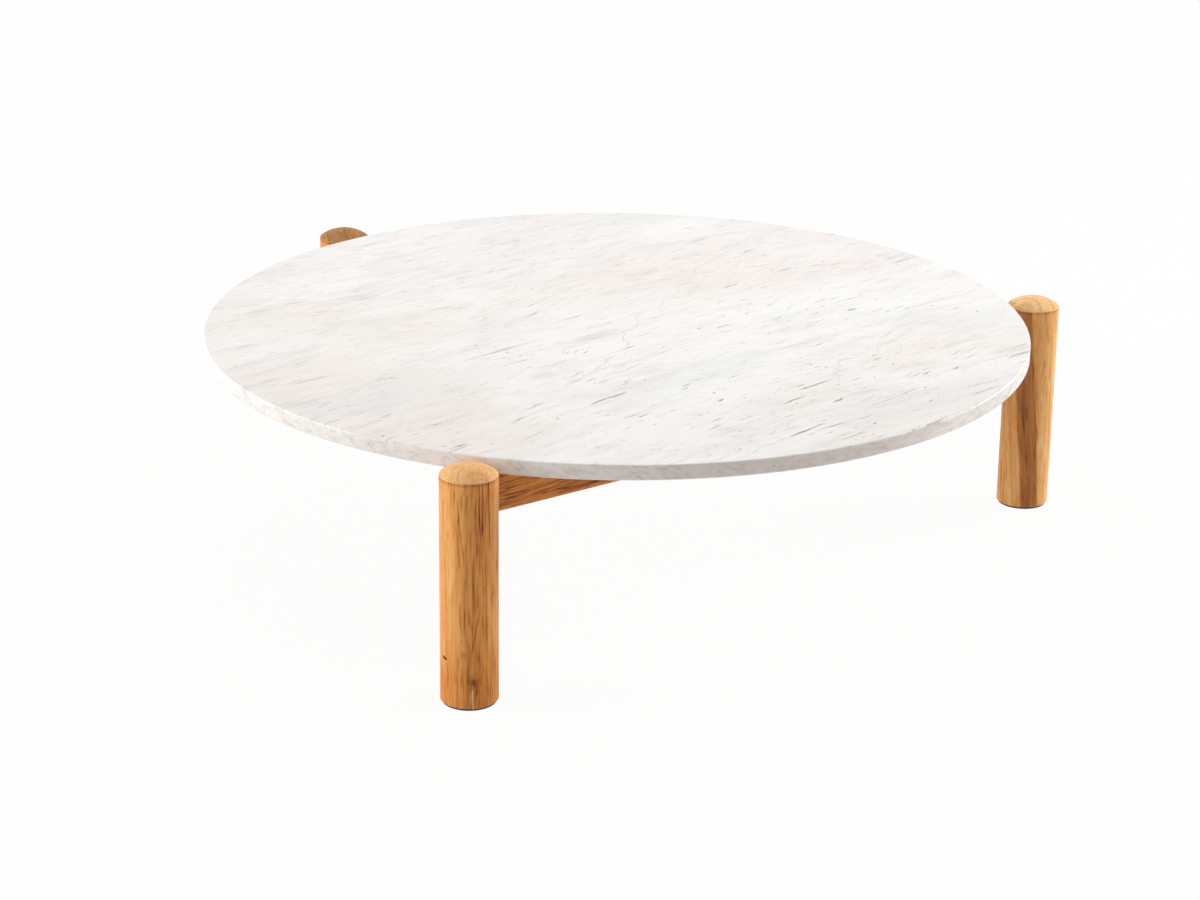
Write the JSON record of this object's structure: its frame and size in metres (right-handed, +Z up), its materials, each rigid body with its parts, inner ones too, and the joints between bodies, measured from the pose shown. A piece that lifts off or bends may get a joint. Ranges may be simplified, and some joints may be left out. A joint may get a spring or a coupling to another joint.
{
  "type": "round cocktail table",
  "caption": "Low round table: a loose polished marble disc lying on a triangle of teak rails, held between thick round teak legs with domed tops beside its rim.",
  "frame": {"origin": "on the floor, under the middle of the stone disc", "axes": "+Z up along the disc's axis, -Y towards the front leg, +X towards the right-hand side"},
  "size_m": [1.2, 1.282, 0.329],
  "materials": {
    "marble": "polished white marble with fine grey streaks",
    "leg_teak": "oiled teak, fine sanded, grain along the leg",
    "rail_teak": "oiled teak, grain along the rail",
    "block_teak": "plain sawn teak",
    "silicone": "translucent soft silicone",
    "pad_nylon": "black nylon",
    "steel": "stainless steel"
  },
  "bodies": {
    "base": {"leg_front": "leg_teak", "leg_right": "leg_teak", "leg_left": "leg_teak", "rail_front_right": "rail_teak", "rail_back": "rail_teak", "rail_front_left": "rail_teak", "corner_block_front": "block_teak", "corner_block_right": "block_teak", "corner_block_left": "block_teak", "loose_tenons": "block_teak", "hanger_bolts": "steel", "hanger_washers": "steel", "hanger_nuts": "steel", "block_screws": "steel", "stone_bumpers": "silicone", "foot_pad_front": "pad_nylon", "foot_pad_right": "pad_nylon", "foot_pad_left": "pad_nylon", "pad_screws": "steel"},
    "stone": {"stone_top": "marble"}
  },
  "joints": [
    {"name": "stone_lift", "type": "slide", "parent": "base", "child": "stone", "axis": [0, 0, 1], "range_m": [0, 0.12]}
  ]
}
